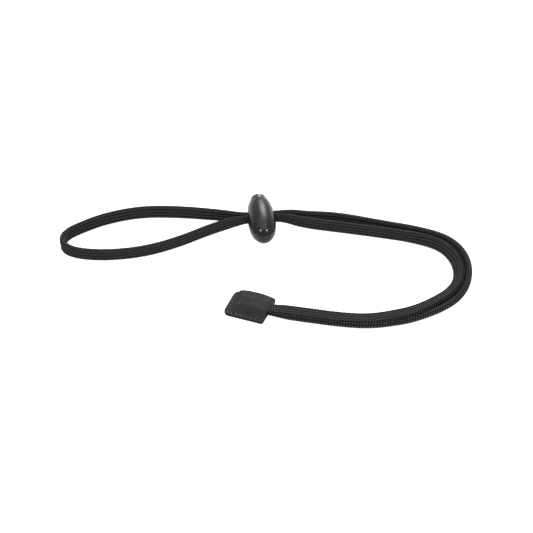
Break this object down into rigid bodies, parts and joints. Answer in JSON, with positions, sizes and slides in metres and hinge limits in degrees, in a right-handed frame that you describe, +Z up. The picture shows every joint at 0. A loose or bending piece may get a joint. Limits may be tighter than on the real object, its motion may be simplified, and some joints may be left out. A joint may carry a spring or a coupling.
{
  "type": "cord lock",
  "caption": "Egg-shaped push-button spring cord lock on a doubled flat braided cord, with a stitched leather tab on the cord's ends.",
  "frame": {"origin": "under the middle of the lock's length, on the surface that the lock, the cord and the tab lie on", "axes": "+Y along the lock's axis towards its push button, +X along the cord window towards the tails, +Z up"},
  "size_m": [0.1891, 0.095, 0.0131],
  "materials": {
    "body_plastic": "gloss, fine moulded surface",
    "cap_plastic": "gloss",
    "button_plastic": "gloss",
    "spring_steel": "drawn wire",
    "braid": "herringbone braid",
    "leather": "matt, fine grain",
    "thread": "waxed thread"
  },
  "bodies": {
    "lock": {"lock_body": "body_plastic", "end_cap": "cap_plastic", "spring": "spring_steel", "cord_gripped_far": "braid", "cord_gripped_near": "braid", "cord_loop": "braid", "cord_outer_tail": "braid", "cord_inner_tail": "braid", "cord_outer_end": "braid", "cord_inner_end": "braid", "tab_lower_leather": "leather", "tab_upper_leather": "leather", "stitching": "thread"},
    "plunger": {"plunger": "button_plastic"}
  },
  "joints": [
    {"name": "button_press", "type": "slide", "parent": "lock", "child": "plunger", "axis": [0, -1, 0], "range_m": [0, 0.0028], "stiffness_N_per_m": 980, "springref_m": -0.0035, "deforming": ["spring"]}
  ]
}
